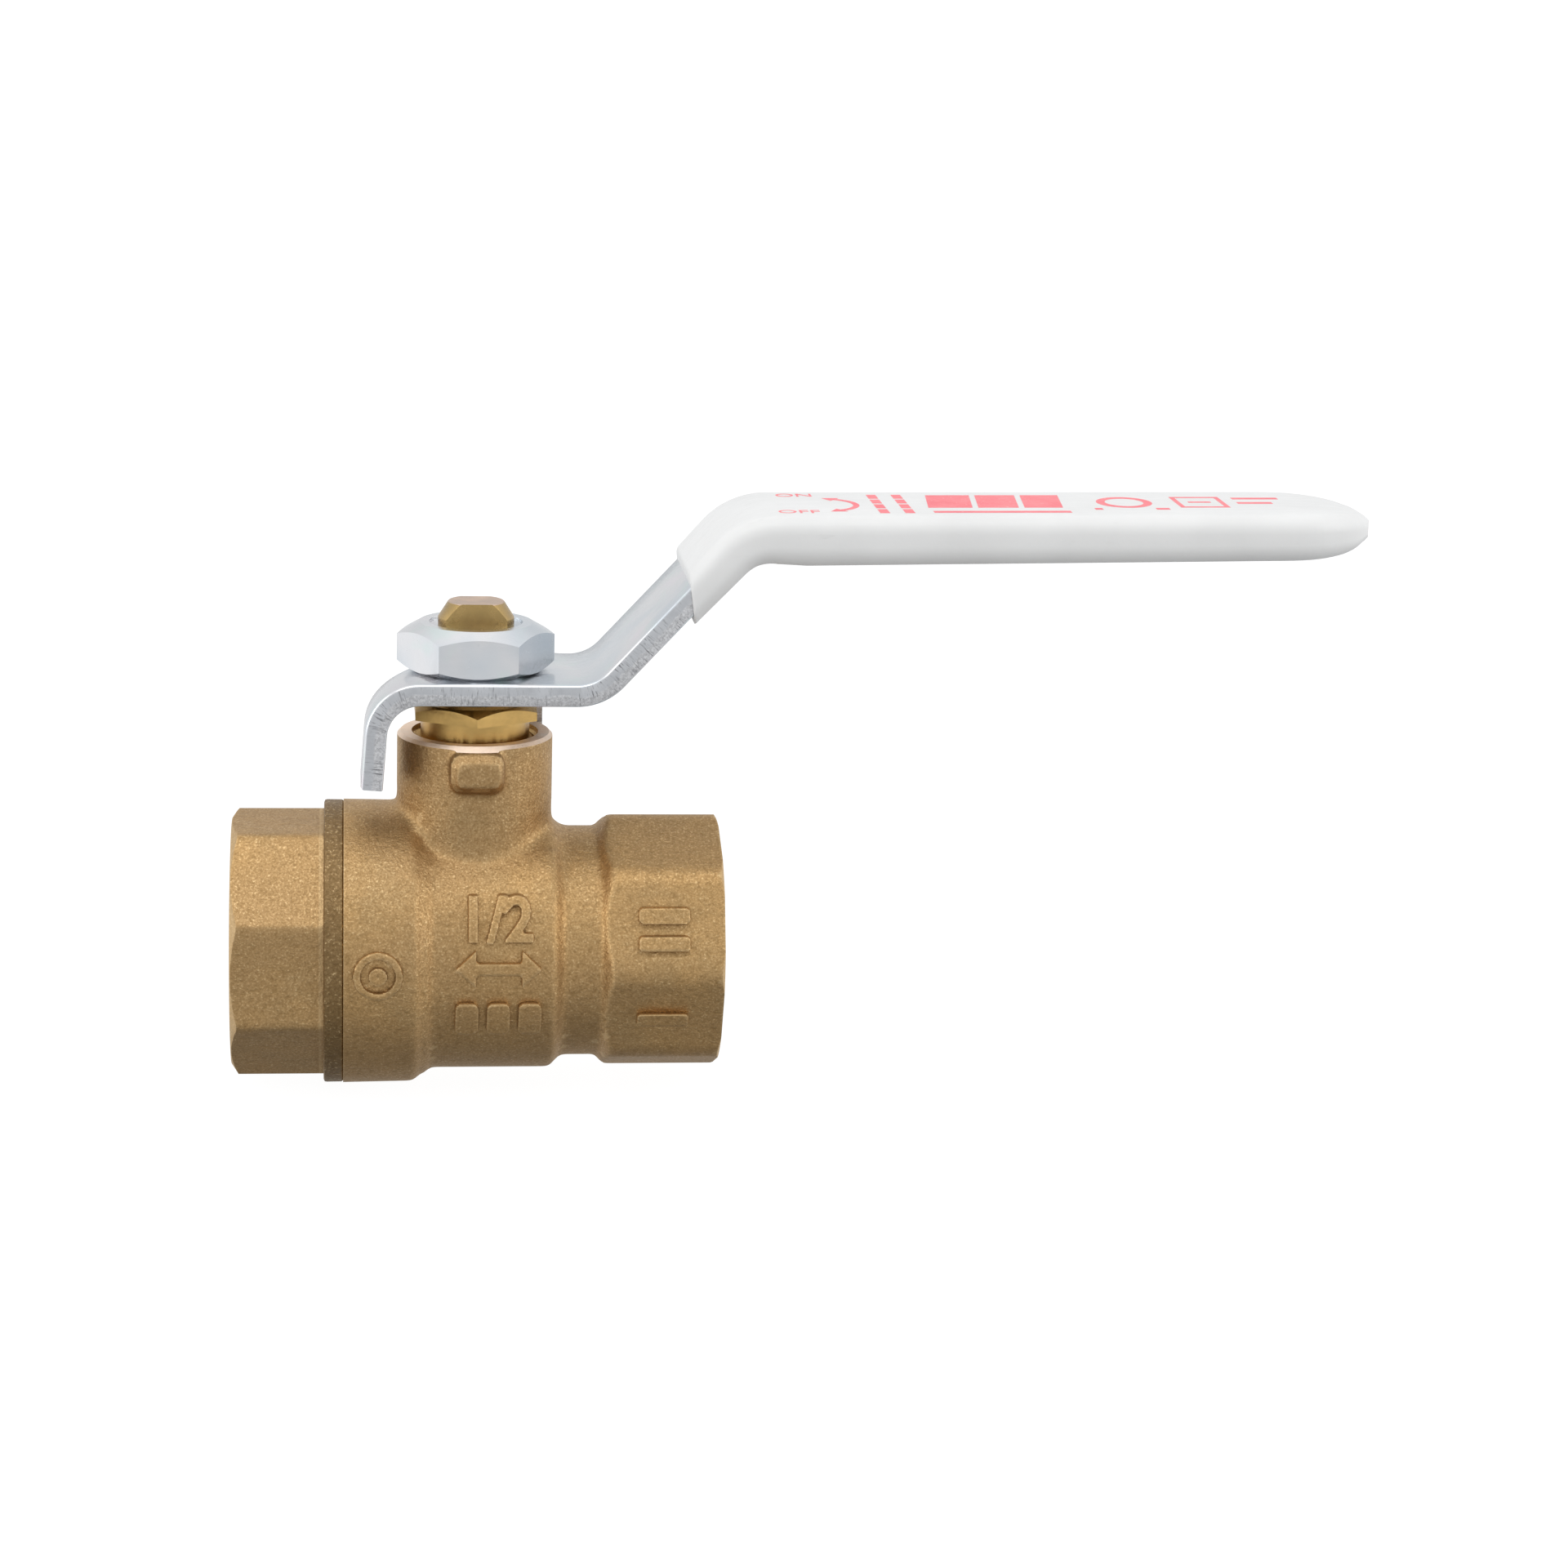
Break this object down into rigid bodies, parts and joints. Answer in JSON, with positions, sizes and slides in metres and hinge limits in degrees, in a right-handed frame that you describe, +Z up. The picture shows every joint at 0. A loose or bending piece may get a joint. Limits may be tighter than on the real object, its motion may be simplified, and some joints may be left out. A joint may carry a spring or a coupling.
{
  "type": "ball valve",
  "caption": "Half-inch threaded brass ball valve with packing gland, quarter-turn steel lever and white vinyl grip.",
  "frame": {"origin": "centre of the ball, where the bore axis meets the stem axis", "axes": "+X along the bore, out of the body's own threaded port and along the open lever; +Z up the stem"},
  "size_m": [0.1177, 0.0294, 0.0619],
  "materials": {
    "forged_brass": "shot-blasted forging",
    "turned_brass": "turned",
    "plated_ball": "polished plating",
    "seat_plastic": "satin",
    "zinc_steel": "bright zinc plating",
    "white_vinyl": "dipped vinyl, satin gloss"
  },
  "bodies": {
    "housing": {"body": "forged_brass", "end_cap": "forged_brass", "seat_inlet": "seat_plastic", "seat_outlet": "seat_plastic", "thrust_washer": "seat_plastic", "packing_ring_lower": "seat_plastic", "packing_ring_middle": "seat_plastic", "packing_ring_upper": "seat_plastic", "gland_nut": "turned_brass"},
    "handle": {"stem": "turned_brass", "lever": "zinc_steel", "grip": "white_vinyl", "handle_nut": "zinc_steel"},
    "valve_ball": {"ball": "plated_ball"}
  },
  "joints": [
    {"name": "handle_turn", "type": "hinge", "parent": "housing", "child": "handle", "pos_m": [0, 0, 0], "axis": [0, 0, 1], "range_deg": [-90, 0]},
    {"name": "ball_turn", "type": "hinge", "parent": "housing", "child": "valve_ball", "pos_m": [0, 0, 0], "axis": [0, 0, 1], "range_deg": [-90, 0]}
  ],
  "couplings": [
    {"joint": "ball_turn", "follows": "handle_turn", "ratio": 1}
  ]
}
